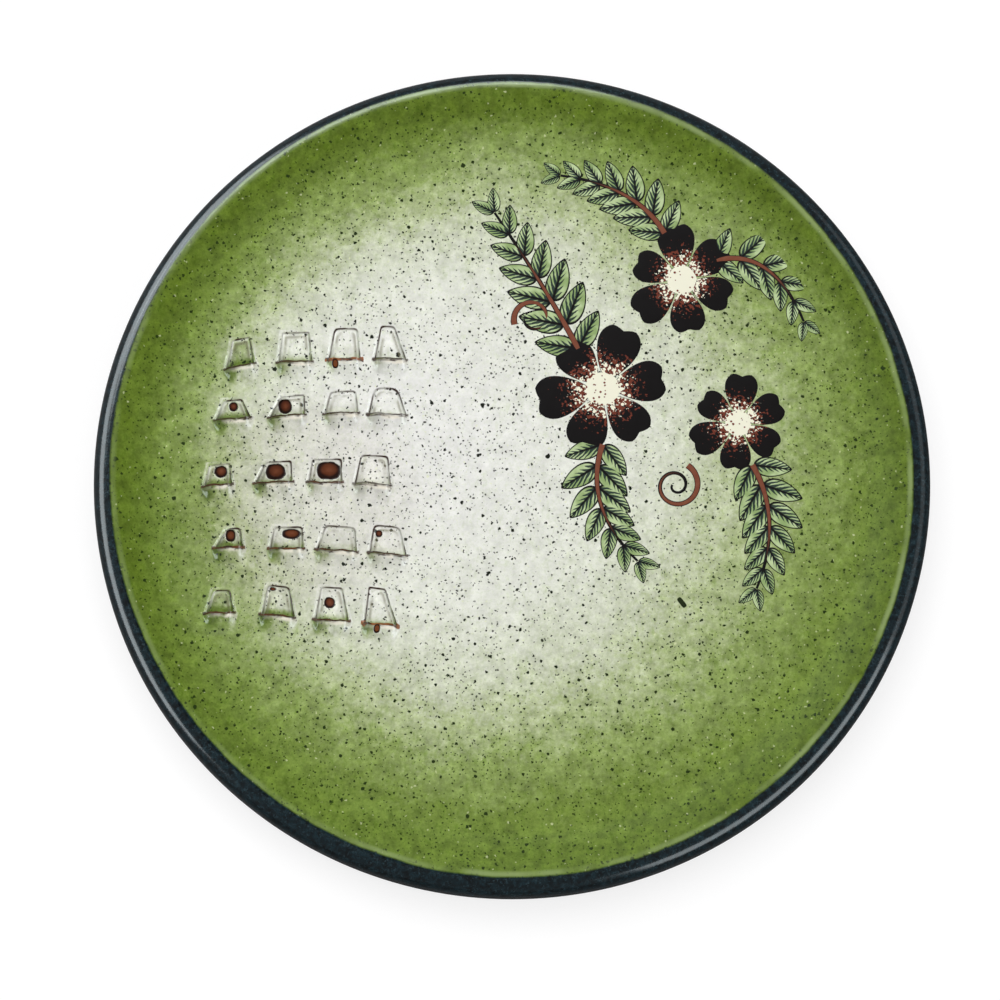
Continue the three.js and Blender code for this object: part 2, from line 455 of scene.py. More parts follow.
def tooth_sheet(wire, size):
    counts = {"Size X": 2.0, "Size Y": 2.0, "Vertices X": COLUMNS, "Vertices Y": ROWS}
    sheet = wire.node("GeometryNodeMeshGrid", counts)
    across, along = position(wire).xy()
    front = along.ramp(LIP_BAND, 1.0) * (size["Pit Length"] + (END_MARGIN - FACE_HALF))
    middle = (along.ramp(-LIP_BAND, LIP_BAND) * 2.0 - 1.0) * FACE_HALF
    back = (1.0 - along.ramp(-1.0, -LIP_BAND)) * (MOUND + END_MARGIN - FACE_HALF)
    x = across * (size["Lip Length"] * 0.5 + SIDE_MARGIN)
    y = front + middle - back
    return sheet, across, along, x, y


print("sheet:", COLUMNS, "by", ROWS, "points")

# %% The rule of a tooth
WALL_WIDTH = 0.3
SHOULDER = 0.75
RIDGE_OUT = 0.22
RIDGE_HALF = 0.33
RIDGE_HEIGHT = 0.22
LUMP_HEIGHT = 0.5
LIP_WANDER = 1.1
SPOT_POWER = 2.4
SPOT_BEAD = 0.07
SPOT_DEEP = 0.16


def tooth_tree(finish):
    wire, size = shape_tree("tooth", TOOTH_INPUTS)
    sheet, across, along, x, y = tooth_sheet(wire, size)
    lip_half = size["Lip Length"] * 0.5
    pit = size["Pit Length"]
    seed = size["Seed"]

    # distances to the outline of the pit, positive inside
    share = (y / pit).ramp(0.0, 1.0)
    half = (lip_half - OVERHANG) * (1.0 - share) + size["Far Edge"] * 0.5 * share
    side = half - abs(x - size["Edge Shift"] * share)
    inside = wire.math("SMOOTH_MIN", side, pit - y, size["Corner"])

    # heights of the pit, and of the lip with the mound behind it
    wall = 1.0 - (1.0 - inside.ramp(0.0, WALL_WIDTH)) ** 2.0
    floor = PIT_STEP + (1.0 - share) ** 1.3 * (PIT_DEEP - PIT_STEP)
    before_lip = y.ramp(-0.02, FACE_HALF)
    b = (-y / MOUND).ramp(0.0, 1.0)
    fall = (1.0 - b) ** 2.0 * (b * 0.6 + 1.0)
    q = ((abs(x) / (1.0 - b * 0.25)) - (lip_half - SHOULDER)).ramp(0.0, SHOULDER + SIDE_MARGIN)
    crown = (1.0 - q * q) ** 2.0
    beside = 1.0 - (abs(side + RIDGE_OUT) / RIDGE_HALF).ramp(0.0, 1.0)
    ridge = beside ** 2.0 * (1.0 - share) * before_lip
    inner = (1.0 - across * across) * (1.0 - along * along)
    rise = crown * fall * (1.0 - before_lip) * LIP_HEIGHT + ridge * RIDGE_HEIGHT
    lump = wobble(wire, x, y, seed, 0.7) * inner * LUMP_HEIGHT

    # the spot where the glaze drew back, with a low bead round it
    spot_x = (x - size["Spot X"]) / size["Spot Width"]
    spot_y = (y - size["Spot Y"]) / size["Spot Height"]
    spot = (abs(spot_x) ** SPOT_POWER + abs(spot_y) ** SPOT_POWER) ** (1 / SPOT_POWER)
    spot = spot + wobble(wire, x, y, seed * 2.3, 0.9) * 0.3
    bead = spot.step(0.8, 1.1) * (1.0 - spot.step(1.1, 1.6)) * SPOT_BEAD
    hollow = (1.0 - spot.step(0.85, 1.05)) * SPOT_DEEP - bead
    z = rise - floor * wall * before_lip + lump - hollow

    # the lip wanders a little to and fro
    drift = wobble(wire, x, seed * 3.7, 0.0, 0.35) * (1.0 - abs(along)) ** 2.0
    drift = drift * (1.0 - across * across) * LIP_WANDER

    # where brown lines lie, and where highlights and shade are painted
    below = (crown * LIP_HEIGHT + lump - z) * 0.5
    from_lip = abs(y + 0.03).greater(abs(x + 0.1) - lip_half - 0.05)
    # painted shadow: the lip's dark line widens at its left end
    lip_end_shadow = (x + lip_half).hypot(y + 0.12) * (size["Place X"].ramp(-18.0, -34.0) + 0.65)
    left = (x / lip_half).ramp(0.4, -0.6)
    behind = -y
    # painted highlight: a pale band just outside the pit's left edge
    halo = (1.0 - abs(inside + 0.36) / 0.3).greater(0.0) * before_lip * left
    # painted highlight: a cream line just behind the lip, mostly on its right part
    glow = behind.step(0.18, 0.34) * (1.0 - behind.step(0.5, 0.95)) * (1.0 - q) * (1.0 - left * 0.8)
    # painted shade under the lip's left end
    under_left = (x / lip_half).step(-0.1, -0.8) * (x / lip_half).step(-1.3, -0.95)
    shade = behind.step(0.0, 0.3) * (1.0 - behind.step(0.7, 3.0)) * under_left
    green = size["Green"] * inside.ramp(0.1, 0.6) * before_lip
    left_side = ((x - size["Edge Shift"] * share) / half).step(-0.5, -0.85)
    handed_on = {
        "outline": inside.lesser(y + 0.35),
        "lip": from_lip,
        "edge": from_lip.greater(below).lesser(lip_end_shadow),
        "spot": spot,
        "core": (spot_x - 0.05).hypot(spot_y - 0.12),
        "wear": size["Wear"],
        "shine": inner.step(0.03, 0.35),
        "halo": halo,
        "glow": glow,
        # painted shade, with the pit's share of green added to it
        "shade": shade * inner + green,
        "line": 1.0 - left_side * size["Place X"].ramp(-20.0, -42.0),
    }
    for name, value in handed_on.items():
        sheet = stored(sheet, name, value)
    return tree_result(placed(moved(sheet, x, y + drift, z), size, FLOOR), finish)


# %% From an open sheet to a closed block
def blocked(piece):
    """Gives an open sheet side walls and a floor, which makes it a closed block."""
    shape = bmesh.new()
    shape.from_mesh(piece.data)
    rim = [edge for edge in shape.edges if edge.is_boundary]
    made = bmesh.ops.extrude_edge_only(shape, edges=rim)["geom"]
    for item in made:
        if isinstance(item, bmesh.types.BMVert):
            item.co.z = BLOCK_BOTTOM * MM
    low = [edge for edge in made if isinstance(edge, bmesh.types.BMEdge) and edge.is_boundary]
    bmesh.ops.edgeloop_fill(shape, edges=low)
    bmesh.ops.recalc_face_normals(shape, faces=shape.faces)
    shape.to_mesh(piece.data)
    shape.free()
    smoothed(piece.data, TURNED_LIMIT)


# %% [markdown]
# ## The punch marks
# Every mark was made by hand, so each has its own place, lengths and turn: the same numbers as
# in the CAD, row by row from the top. Some pits show a spot where the glaze drew back from the
# clay, and its place and size end the line, after the wear of the lip, the roundness of the
# pit's corners and its share of green.

# %% The marks, in millimetres and degrees
# x, y, lip, pit, far edge, shift, turn, wear, corner, green, and the spot's x, y, width, height
MARKS = {
    "r1c1": (-39.05, 16.95, 4.4, 3.9, 2.5, 0.9, 12, 0.3, 0.3, 0.45),
    "r1c2": (-31.15, 17.55, 5.0, 4.3, 3.8, 0.2, 2, 0.4, 0.3, 0.05),
    "r1c3": (-24.05, 17.95, 4.7, 4.5, 3.3, 0.2, 0, 1.0, 1.1, 0, -1.35, -0.8, 0.45, 0.65),
    "r1c4": (-17.45, 17.95, 4.7, 4.8, 1.9, -0.6, -2, 0.2, 0.7, 0),
    "r2c1": (-40.05, 9.25, 5.2, 2.7, 2.6, 0.2, 5, 0.2, 0.5, 0.15, 0.16, 1.85, 0.65, 0.62),
    "r2c2": (-32.25, 9.65, 5.3, 2.9, 3.3, 1.0, 5, 0.3, 0.4, 0, -0.2, 1.5, 1.0, 1.05),
    "r2c3": (-24.45, 10.05, 5.0, 3.2, 3.6, 0.3, 2, 0.3, 0.9, 0),
    "r2c4": (-17.85, 9.85, 5.6, 3.9, 3.3, -0.4, -2, 0.1, 1.8, 0),
    "r3c1": (-42.15, -0.45, 4.2, 3.0, 3.0, 0.5, 6, 0.5, 0.5, 0, 0.6, 2.0, 0.93, 0.84),
    "r3c2": (-34.15, -0.05, 5.5, 3.0, 3.6, 0.8, 3, 0.5, 0.6, 0, 0.3, 1.65, 1.44, 1.15),
    "r3c3": (-26.75, 0.05, 5.0, 3.3, 4.1, 0.2, 0, 0.6, 0.7, 0, 0.4, 1.8, 1.76, 1.24),
    "r3c4": (-19.95, -0.35, 5.3, 4.2, 3.8, 0.0, -3, 0.1, 0.9, 0),
    "r4c1": (-40.55, -9.55, 4.2, 2.8, 1.9, 0.7, 1, 0.7, 0.9, 0, 0.24, 1.8, 0.72, 0.85),
    "r4c2": (-32.25, -9.65, 5.0, 3.1, 4.0, 0.2, 0, 0.7, 0.8, 0, 0.6, 2.2, 1.36, 0.72),
    "r4c3": (-25.05, -9.95, 5.9, 3.5, 4.2, 0.2, -4, 0.5, 1.0, 0.05),
    "r4c4": (-17.75, -10.45, 5.5, 4.0, 3.7, -0.5, -5, 0.4, 1.2, 0, -1.6, 2.9, 0.5, 0.5),
    "r5c1": (-41.75, -19.05, 4.2, 3.3, 2.3, 0.3, 2, 0.6, 0.8, 0.2),
    "r5c2": (-33.45, -19.45, 4.9, 4.3, 3.0, -0.4, -6, 0.6, 1.0, 0.12, -1.2, 3.85, 0.45, 0.25),
    "r5c3": (-25.75, -20.05, 5.0, 4.7, 3.0, -0.3, -3, 0.6, 0.7, 0, -0.5, 2.6, 0.79, 0.8),
    "r5c4": (-18.75, -20.75, 4.9, 5.2, 2.3, -1.2, -7, 1.0, 0.5, 0, -0.5, -0.75, 0.45, 0.6),
}
print("marks:", len(MARKS))

# %% [markdown]
# ## The glaze
# The white glaze was laid on in the middle and the green one sprayed on from the rim, so the
# colour depends on a distance. The white patch isn't a set of circles about one point: the
# bigger the circle, the nearer its middle lies to the plate's, and the formula solves for that
# drifting circle. Iron in the clay burns through as dark specks, which come from cells of three
# sizes. All of it works on object coordinates, so that the pattern runs on over every piece.

# %% Colours of the glaze
SPRAY = (
    (0.10, srgb(231, 231, 226)),
    (0.38, srgb(223, 225, 213)),
    (0.52, srgb(204, 209, 186)),
    (0.62, srgb(175, 186, 142)),
    (0.72, srgb(139, 157, 92)),
    (0.84, srgb(113, 134, 59)),
    (1.00, srgb(103, 126, 47)),
)
SPRAY_END = 60.0
SPRAY_START = 1.0
DRIFT = (0.335, -0.105)
FOCUS = (-16.6, 7.6)


def shader_tree(name):
    """A new material, a wire into its tree, and object coordinates in millimetres."""
    material = bpy.data.materials.new(name)
    material.use_nodes = True
    material.node_tree.nodes.clear()
    wire = Wire(material.node_tree)
    return material, wire, wire.node("ShaderNodeTexCoord", {}, "Object").scaled(1 / MM)


def show(shader):
    """Ends a tree: this shader is what the surface shows."""
    sink = shader.tree.nodes.new("ShaderNodeOutputMaterial")
    shader.tree.links.new(shader.socket, sink.inputs["Surface"])


def finish_shader(wire, sockets):
    """Ends a tree in one Principled BSDF with these sockets."""
    show(wire.node("ShaderNodeBsdfPrincipled", sockets))


def noise(point, scale, detail=2.0, rough=0.5):
    values = {"Vector": point, "Scale": scale, "Detail": detail, "Roughness": rough}
    return point.node("ShaderNodeTexNoise", values)


def attribute(wire, name, out="Fac"):
    return wire.node("ShaderNodeAttribute", {}, out, attribute_name=name)


def bumped(height, strength, deep):
    sockets = {"Height": height, "Strength": strength, "Distance": deep}
    return height.node("ShaderNodeBump", sockets)


def facing(wire):
    """The direction that the surface faces."""
    return wire.node("ShaderNodeNewGeometry", {}, "Normal")


print("spray:", len(SPRAY), "colours")

# %% The sprayed colour, from white to green
CLOUDS = 7.0
MIST = 11.0


def sprayed(wire, point, tooth):
    qx, qy = point.about(FOCUS)
    lean = qx * DRIFT[0] + qy * DRIFT[1]
    keep = 1.0 - DRIFT[0] ** 2 - DRIFT[1] ** 2
    reach = (wire.math("SQRT", lean * lean + (qx * qx + qy * qy) * keep) - lean) / keep
    cloud = (noise(point, 0.06) - 0.5) * CLOUDS + (noise(point, 0.35) - 0.5) * CLOUDS
    mist = (noise(point, 1.4, 3.0, 0.7) - 0.5) * MIST
    if tooth:
        # surfaces turned towards the left are drawn greener and darker and those turned right
        # paler, pits paler except near the lip, each as if it lay that many millimetres further out
        # or in
        slope = facing(wire).part(0)
        pit = attribute(wire, "outline").ramp(-0.1, 0.15)
        deep = 1.0 - attribute(wire, "lip").ramp(0.1, 1.3)
        reach = reach - slope * 14.0 + pit * (deep * 25.0 - 8.0)
        # painted shade under the lip's left end is drawn greener, and the painted highlight beside
        # the pit's left edge paler
        reach = reach + attribute(wire, "shade") * 24.0 - attribute(wire, "halo") * 9.0
    level = (reach + cloud + mist - SPRAY_START) / SPRAY_END
    return level.node("ShaderNodeValToRGB", {0: level}, stops=SPRAY)


# %% Specks, smudges and grain
GLINT = srgb(226, 232, 182)
IRON = srgb(26, 27, 22)
OLIVE = srgb(38, 54, 12)
DEEPER = (0.66, 0.75, 0.48)
SMEAR = (1.3, 0.7, 1.0)
TEETH_DIMMING = (0.91, 0.895, 0.88)
TEETH_DIMMING_PLACE = (-30.0, -3.0)
TEETH_DIMMING_REACH = (17.0, 16.0)
FLAKE_PLACE = (24.3, -17.5)
FLAKE_TURN = (0.61, 0.79)
FLAKE_HALF = (0.85, 0.36)


def specks(point, cell, least, most, soft, share, space="2D"):
    """Round grains in a share of the cells, with radii from least to most, most of them small."""
    values = {"Vector": point, "Scale": 1.0 / cell}
    cells = point.node("ShaderNodeTexVoronoi", values, "Distance", voronoi_dimensions=space)
    distance = cells * cell
    # red and green also place the cell's point, so only blue makes a free choice of cells
    pick = cells.also("Color").part(2)
    lot = (pick + share - 1.0) / share
    radius = lot.greater(0.0) ** 2.0 * (most - least) + least
    return lot.step(0.0, 0.01) * (1.0 - (distance - radius).step(-soft, soft))


def ragged(point, scale, reach):
    """The point with a small random push, which makes round grains uneven."""
    values = {"Vector": point, "Scale": scale, "Detail": 2.0}
    colour = point.node("ShaderNodeTexNoise", values, "Color")
    return point.shifted(colour.shifted((-0.5, -0.5, -0.5)).scaled(2 * reach))


def long_grain(point):
    """One flake of iron on the plain half of the floor, longer than all other grains."""
    x, y = point.about(FLAKE_PLACE)
    along = (x * FLAKE_TURN[0] - y * FLAKE_TURN[1]) / FLAKE_HALF[0]
    across = (x * FLAKE_TURN[1] + y * FLAKE_TURN[0]) / FLAKE_HALF[1]
    return 1.0 - (along ** 4.0 + across ** 4.0).step(0.7, 1.3)


def speckled(point, colour):
    # a patch round the teeth is drawn a little darker
    x, y = point.about(TEETH_DIMMING_PLACE)
    teeth_dimming = (x / TEETH_DIMMING_REACH[0]) ** 2.0 + (y / TEETH_DIMMING_REACH[1]) ** 2.0
    teeth_dimming = 1.0 - teeth_dimming.step(0.4, 1.3)
    colour = teeth_dimming.tinted(colour, colour.stretched(TEETH_DIMMING))
    smear = noise(point.stretched(SMEAR), 1.0, 3.0, 0.65)
    deeper = colour.stretched(DEEPER)
    green = 1.0 - colour.part(2)
    colour = (smear.step(0.52, 0.72) * (green * 0.75 + 0.05)).tinted(colour, deeper)
    mottle = noise(point, 0.6, 4.0, 0.75) - 0.5
    colour = colour.scaled(mottle * (green * 2.0 + 0.1) + 1.01)
    grain = noise(point, 3.0, 3.0, 0.7).step(0.48, 0.7)
    colour = (grain * (green * 0.4 + 0.2)).tinted(colour, deeper)
    rough = ragged(point, 2.4, 0.27)
    patchy = noise(point, 0.35).step(0.36, 0.62)
    # on a steep wall such flat grains would run down as streaks, so they fade out there
    facing_up = facing(point).part(2).step(0.3, 0.65)
    glint = specks(rough.shifted((11.0, 2.0, 5.0)), 1.5, 0.05, 0.14, 0.06, 0.35) * facing_up
    colour = (glint * 0.5).tinted(colour, GLINT)
    big = specks(rough, 6.0, 0.2, 0.36, 0.05, 0.16)
    middle = specks(rough.shifted((3.1, 7.7, 0.0)), 1.5, 0.1, 0.24, 0.04, patchy * 0.45 + 0.35)
    small = specks(rough.shifted((1.7, 4.2, 0.0)), 0.75, 0.07, 0.14, 0.04, patchy * 0.65 + 0.25)
    speck = big.greater(middle).greater(small * 0.9).greater(long_grain(point))
    return (speck * facing_up).tinted(colour, (green ** 2.0).tinted(IRON, OLIVE))


# %% The ring under the rim and the dark glaze on it
UNDER_RIM_COLOUR = srgb(87, 107, 28)
UNDER_RIM_START = 50.5
UNDER_RIM_FULL = 56.2
UNDER_RIM_LEAN = (0.34, 0.94)
FRINGE = srgb(142, 160, 104)
DARK = srgb(1, 8, 10)
TEAL = srgb(15, 36, 42)
FLECK = srgb(40, 60, 66)
EDGE_R = 57.75
EDGE_MIDDLE = (-0.05, 0.48)
OVAL = (-0.1875, -0.41)


def darkened_under_rim(point, colour):
    """Darker green on the slope under the rim, less of it at the plate's lower edge."""
    x, y = point.xy()
    under_rim = x.hypot(y).step(UNDER_RIM_START, UNDER_RIM_FULL) * (0.35 + noise(point, 0.4) * 0.8)
    lean = (x * UNDER_RIM_LEAN[0] + y * UNDER_RIM_LEAN[1]).ramp(-62.0, -30.0)
    return (under_rim * lean).tinted(colour, UNDER_RIM_COLOUR)


def rimmed(point, colour):
    """The two glazes meet along a circle that is slightly oval and uneven."""
    x, y = point.xy()
    off_x, off_y = point.about(EDGE_MIDDLE)
    oval = ((x * x - y * y) * OVAL[0] + x * y * OVAL[1]) / (CREST_R * CREST_R)
    past = off_x.hypot(off_y) - oval - EDGE_R
    # the outer wall and the belly come nearer the axis again, and are dark all the same
    outside = point.part(2).ramp(9.2, 8.2) * 3.0
    past = past + (noise(point, 0.35) - 0.5) * 0.3 + outside
    # a pale band just inside the dark glaze, fainter towards the left
    fringe = past.step(-1.1, -0.5) * (1.0 - past.step(-0.35, 0.05))
    fringe = fringe * noise(point, 0.12).step(0.3, 0.6)
    colour = (fringe * x.ramp(-95.0, -10.0) * 0.75).tinted(colour, FRINGE)
    dark = noise(point, 1.1, 4.0, 0.75).step(0.36, 0.64).tinted(DARK, TEAL)
    flecks = noise(point, 2.0, 3.0, 0.7).step(0.53, 0.7)
    dark = (flecks * 0.8).tinted(dark, FLECK)
    return past.step(-0.25, 0.15).tinted(colour, dark)


print("glaze edge:", EDGE_R, "mm")

# %% Wear, and painted light and shade, on the teeth
LINE = srgb(56, 34, 26)
PIT_WALL_SHADE = srgb(126, 122, 96)
WORN = srgb(146, 82, 36)
SPOT_EDGE = srgb(34, 14, 8)
SPOT_CORE = srgb(84, 40, 22)
SPOT_MIDDLE = srgb(116, 64, 40)
HIGHLIGHT_CREAM = srgb(252, 245, 228)
LIT_FROM = (0.7, 0.6)


def wear_and_painted_light(wire, point, colour):
    """Brown where glaze breaks over the pit's outline and lip, bare clay in the spots, and painted
    light and shade.
    """
    uneven = noise(point, 1.4, 3.0) - 0.5
    inside = attribute(wire, "outline") + uneven * 0.08
    # painted light: inside the pit, walls facing the lower right are brightened, those facing away
    # darkened, and the whole pit lifted a little
    across, along = facing(wire).xy()
    lit = across * LIT_FROM[0] - along * LIT_FROM[1]
    colour = colour.scaled(inside.step(0.0, 0.15) * (lit * 0.34 + 0.04) + 1.0)
    # painted shade: grey along the foot of the pit's walls; painted highlight: a brighter patch on
    # the pit's floor
    foot = inside.step(0.3, 0.5) * (1.0 - inside.step(0.55, 0.95))
    colour = (foot * noise(point, 0.5).step(0.38, 0.58) * 0.6).tinted(colour, PIT_WALL_SHADE)
    colour = colour.scaled(inside.step(0.7, 1.3) * noise(point, 0.35).step(0.4, 0.6) * 0.16 + 1.0)
    outline = (1.0 - abs(inside).step(0.03, 0.17)) * attribute(wire, "line")
    colour = (outline * (noise(point, 0.45) * 3.0 - 0.8)).ramp(0.0, 0.85).tinted(colour, LINE)
    # painted shade under the lip's left end darkens the colour; the same darkening falls on pits
    # given a share of green
    colour = colour.scaled(1.0 - attribute(wire, "shade") * 0.46)
    # painted highlight: the cream line just behind the lip
    glow = attribute(wire, "glow") * noise(point, 0.7).step(0.36, 0.54)
    colour = (glow * 0.9).tinted(colour, HIGHLIGHT_CREAM)
    wear = attribute(wire, "wear")
    bared = wear ** 3.0
    # the lip's brown line, widened at its left end into a painted shadow
    lip = attribute(wire, "edge") + uneven * 0.12
    thick = bared * noise(point, 0.4).step(0.35, 0.65) * 0.22
    edge = 1.0 - lip.step(thick + 0.1, thick + 0.27)
    rust = (bared * noise(point, 0.8).step(0.36, 0.56)).tinted(LINE, WORN)
    colour = (edge * (noise(point, 0.6) * 1.6 + wear * 1.4 - 0.1)).lesser(0.95).tinted(colour, rust)
    spot = attribute(wire, "spot") + uneven * 0.1
    bare = 1.0 - spot.step(0.94, 1.02)
    # the spot's clay darkens towards its edge, most on the side towards the lip
    core = attribute(wire, "core") + uneven * 0.1
    clay = core.step(0.0, 0.55).tinted(SPOT_MIDDLE, (bared * 0.6).tinted(SPOT_CORE, WORN))
    clay = core.step(0.48, 0.82).tinted(clay, SPOT_EDGE)
    return bare.tinted(colour, clay), attribute(wire, "shine") * (1.0 - bare * 0.6)


# %% The glaze's materials
TOOTH_GLOSS = 0.2


def glaze_material(name, shine, gloss, tooth=False):
    material, wire, point = shader_tree(name)
    colour = darkened_under_rim(point, sprayed(wire, point, tooth))
    colour = speckled(point, colour)
    waves = noise(point, 0.25) + noise(point, 1.6) * 0.12
    sockets = {"Normal": bumped(waves, strength=0.12, deep=0.0004), "Specular IOR Level": shine}
    sockets["Roughness"] = gloss + noise(point, 0.8) * 0.08
    if tooth:
        # the glaze is glassier on the worn teeth, as a coat that fades out at each tooth's edge
        colour, sockets["Coat Weight"] = wear_and_painted_light(wire, point, colour)
        sockets["Coat Roughness"] = TOOTH_GLOSS
    sockets["Base Color"] = rimmed(point, colour)
    finish_shader(wire, sockets)
    return material


speckled_glaze = glaze_material("speckled_glaze", shine=0.05, gloss=0.42)
rim_glaze = glaze_material("rim_glaze", shine=0.5, gloss=0.14)
tooth_glaze = glaze_material("tooth_glaze", shine=0.05, gloss=0.42, tooth=True)
print("glaze on teeth:", len(tooth_glaze.node_tree.nodes), "nodes")

# %% Grow the teeth
SEED_STEP = 5.3
NO_SPOT = (0, 0, 0.01, 0.01)
tooth_rule = tooth_tree(tooth_glaze)
print("tooth rule:", len(tooth_rule.nodes), "nodes")
teeth = {}
for seed, (place, numbers) in enumerate(MARKS.items()):
    values = dict(zip(TOOTH_INPUTS, numbers + NO_SPOT))
    values["Seed"] = seed * SEED_STEP
    piece = grown("punched_tooth_" + place, tooth_rule, values)
    blocked(piece)
    teeth["tooth_" + place] = piece
print("teeth:", len(teeth), "of", len(piece.data.polygons), "faces each")

# %% [markdown]
# ## Pockets for the teeth
# Each tooth now is a small block whose upper edge lies level with the glazed floor. The coat
# and the clay get matching pockets, so no two solids share room. One Boolean with twenty boxes
# cuts them all at once.

# %% Cut the pockets
GAP_BELOW = 0.05
BOX_ABOVE = 2
CARVED_LIMIT = 35


def pocket_boxes():
    shape = bmesh.new()
    low, high = (BLOCK_BOTTOM - GAP_BELOW) * MM, (FLOOR + BOX_ABOVE) * MM
    for x, y, lip, pit, _, _, turn, *_ in MARKS.values():
        half = lip / 2 + SIDE_MARGIN
        front, back = pit + END_MARGIN, MOUND + END_MARGIN
        spin = Matrix.Rotation(math.radians(turn), 4, "Z")
        where = Matrix.Translation((x * MM, y * MM, 0)) @ spin
        middle = Matrix.Translation((0, (front - back) / 2 * MM, (low + high) / 2))
        scale = Matrix.Diagonal((2 * half * MM, (front + back) * MM, high - low, 1))
        bmesh.ops.create_cube(shape, size=1, matrix=where @ middle @ scale)
    mesh = bpy.data.meshes.new("pockets")
    shape.to_mesh(mesh)
    shape.free()
    return new_object("pockets", mesh)


def carve(piece, cutter):
    modifier = piece.modifiers.new("pockets", "BOOLEAN")
    modifier.operation = "DIFFERENCE"
    modifier.solver = "MANIFOLD"
    modifier.object = cutter
    smoothed(settled(piece, modifier), CARVED_LIMIT)


pockets = pocket_boxes()
carve(glazed_face, pockets)
carve(dish_clay, pockets)
bpy.data.objects.remove(pockets)
print("carved:", len(glazed_face.data.polygons), len(dish_clay.data.polygons), "faces")

# %% [markdown]
# ## Bare clay
# Fired red clay is rough and blotched, darker where the kiln's flame touched it, with pale dust
# in its pores.

# %% The clay's material
CLAY = srgb(128, 72, 48)
CLAY_PALE = srgb(158, 94, 62)
CLAY_DUST = srgb(186, 128, 92)
CLAY_IRON = srgb(70, 40, 28)


def clay_material():
    material, wire, point = shader_tree("bare_clay")
    colour = noise(point, 0.12, 3.0).step(0.3, 0.7).tinted(CLAY, CLAY_PALE)
    dust = noise(point, 3.0, 3.0, 0.7)
    colour = dust.step(0.52, 0.75).tinted(colour, CLAY_DUST)
    colour = specks(point, 1.6, 0.2, 0.4, 0.08, 0.4, "3D").tinted(colour, CLAY_IRON)
    bump = bumped(dust, strength=0.35, deep=0.0003)
    finish_shader(wire, {"Base Color": colour, "Roughness": 0.68 + dust * 0.25, "Normal": bump})
    return material


bare_clay = clay_material()
print("clay:", len(bare_clay.node_tree.nodes), "nodes")

# %% Dress the turned pieces
def dress(piece, material, slot, *nodes):
    piece.data.materials.clear()
    piece.data.materials.append(material)
    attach(piece, "root")
    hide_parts(*nodes)


dress(dish_clay, bare_clay, "clay", "clay_body")
dress(glazed_face, speckled_glaze, "speckled_glaze", "face_glaze")
dress(dark_rim, rim_glaze, "dark_glaze", "rim_glaze")
for node, piece in teeth.items():
    dress(piece, tooth_glaze, "tooth_glaze", node)
print("dressed:", 3 + len(teeth), "pieces")

# %% [markdown]
# ## The print
# A transfer is fired onto the plain half of the floor: dark blossoms with a pale heart, fern
# fronds and a few curled tendrils, drawn like an engraving. Each petal and leaflet is a thin
# film, a ball pressed flat from below, and keeps its place on that ball as an attribute, so that
# the ink can follow its outline. Petals repeat round a point and leaflets along a curve, which is
# work for Geometry Nodes; an image would do as well, but it would blur close up.

# %% A thin film and an inked line
PRINT_BASE = FLOOR - 0.01
LINE_HALF = 0.5
LINE_THICK = 0.05


def film(wire, segments, rings, shape, thick):
    """A closed film over the unit disc, moved by a rule for x and y."""
    ball = wire.node("GeometryNodeMeshUVSphere", {"Segments": segments, "Rings": rings})
    corner = position(wire)
    ball = stored(ball, "local", corner, "FLOAT_VECTOR")
    return moved(ball, *shape(*corner.xy()), corner.part(2).greater(0.0) * thick)


def inked_line(wire, path):
    """A flat line along a curve, thinner towards its end, that keeps how far in each point lies."""
    share = wire.node("GeometryNodeSplineParameter", {})
    ring = wire.node("GeometryNodeCurvePrimitiveCircle", {"Resolution": 12, "Radius": 1.0})
    thin = (1.0 - share * 0.6) * LINE_HALF
    sweep = {"Curve": path, "Profile Curve": ring, "Scale": thin, "Fill Caps": True}
    line = wire.node("GeometryNodeCurveToMesh", sweep)
    corner = position(wire)
    height = corner.part(2).greater(0.0) / LINE_HALF
    line = stored(line, "stem", height + 1.0)
    return moved(line, *corner.xy(), height * LINE_THICK)


print("print at", PRINT_BASE, "mm")

# %% Blossoms
PETALS = 6
STAMENS = 15
BLOSSOM_INPUTS = ("Place X", "Place Y", "Radius", "Turn")


def petal_shape(a, b):
    notch = (1.0 - abs(b).ramp(0.0, 0.45)) * a.ramp(0.4, 1.0) * 0.09
    return a * 0.42 + 0.58 - notch, b * (a * 0.12 + 0.3)


def round_spot(radius):
    return lambda a, b: (a * radius, b * radius)


def blossom_tree(finish):
    wire, size = shape_tree("blossom", BLOSSOM_INPUTS)
    index = wire.node("GeometryNodeInputIndex", {})
    grow = wire.math("SINE", index * 2.4) * 0.07 + 0.95
    petals = {
        "Points": wire.node("GeometryNodePoints", {"Count": PETALS}),
        "Instance": film(wire, 40, 16, petal_shape, thick=0.05),
        "Rotation": wire.vector(0.0, 0.0, index * (2 * math.pi / PETALS)),
        "Scale": wire.vector(grow, grow, 1.0),
    }
    angle = index * (2 * math.pi / STAMENS)
    out = wire.math("SINE", index * 4.1) * 0.05 + 0.36
    spots = wire.vector(wire.math("COSINE", angle) * out, wire.math("SINE", angle) * out, 0.0)
    stamen = film(wire, 12, 6, round_spot(radius=0.028), thick=0.08)
    stamens = {
        "Points": wire.node("GeometryNodePoints", {"Count": STAMENS, "Position": spots}),
        "Instance": stored(stamen, "heart", 1.0),
    }
    heart = film(wire, 32, 12, round_spot(radius=0.25), thick=0.09)
    parts = [
        wire.node("GeometryNodeInstanceOnPoints", petals),
        wire.node("GeometryNodeInstanceOnPoints", stamens),
        stored(heart, "heart", 1.0),
    ]
    whole = wire.node("GeometryNodeJoinGeometry", {"Geometry": parts})
    return tree_result(placed(whole, size, PRINT_BASE, size["Radius"]), finish)


print("petals:", PETALS, "stamens:", STAMENS)

